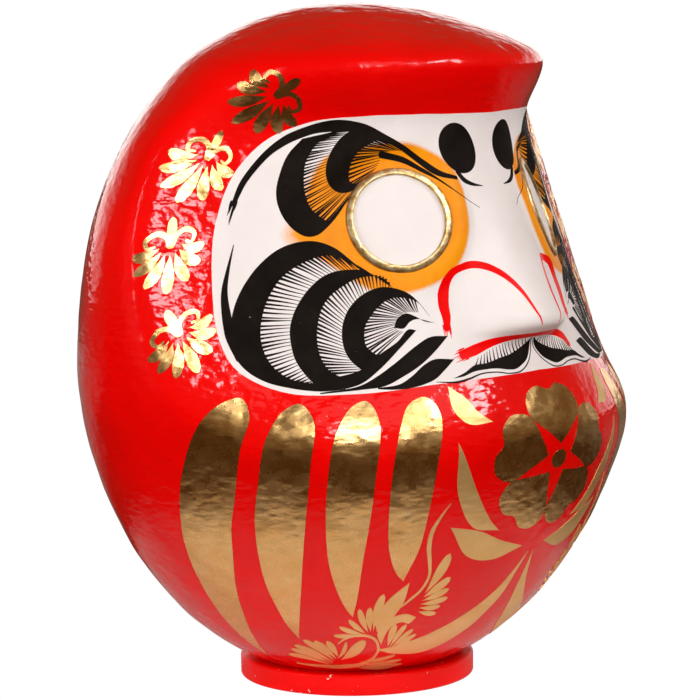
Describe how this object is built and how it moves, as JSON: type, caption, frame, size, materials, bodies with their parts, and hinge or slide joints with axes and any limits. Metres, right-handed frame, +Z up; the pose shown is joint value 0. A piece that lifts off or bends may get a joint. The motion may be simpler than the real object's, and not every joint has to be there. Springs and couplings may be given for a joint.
{
  "type": "daruma doll",
  "caption": "Large round papier-mache good-luck doll with a hooded head, painted face and gilded belly, weighted to stand upright on a round foot.",
  "frame": {"origin": "on the ground, in the middle of the round foot", "axes": "+Z up; the face looks along -Y; +X is the doll's own left"},
  "size_m": [0.5914, 0.4388, 0.6],
  "materials": {
    "red_lacquer": "glossy red lacquer over moulded paper",
    "foot_lacquer": "satin red lacquer over turned wood",
    "kraft_paper": "matte pasted paper",
    "grey_board": "matte board",
    "dried_clay": "matte dried clay",
    "gold_paint": "brushed-on metallic gold paint over a hard paste rim",
    "face_white": "semi-matte shell-white ground",
    "ink_black": "matte black ink",
    "line_red": "satin bright red brush line"
  },
  "bodies": {
    "root": {"shell": "red_lacquer", "seam_strip": "kraft_paper", "foot_ring": "foot_lacquer", "neck_hoop": "grey_board", "clay_weight": "dried_clay", "base_board": "grey_board", "eye_rim_left": "gold_paint", "eye_rim_right": "gold_paint"}
  },
  "joints": []
}
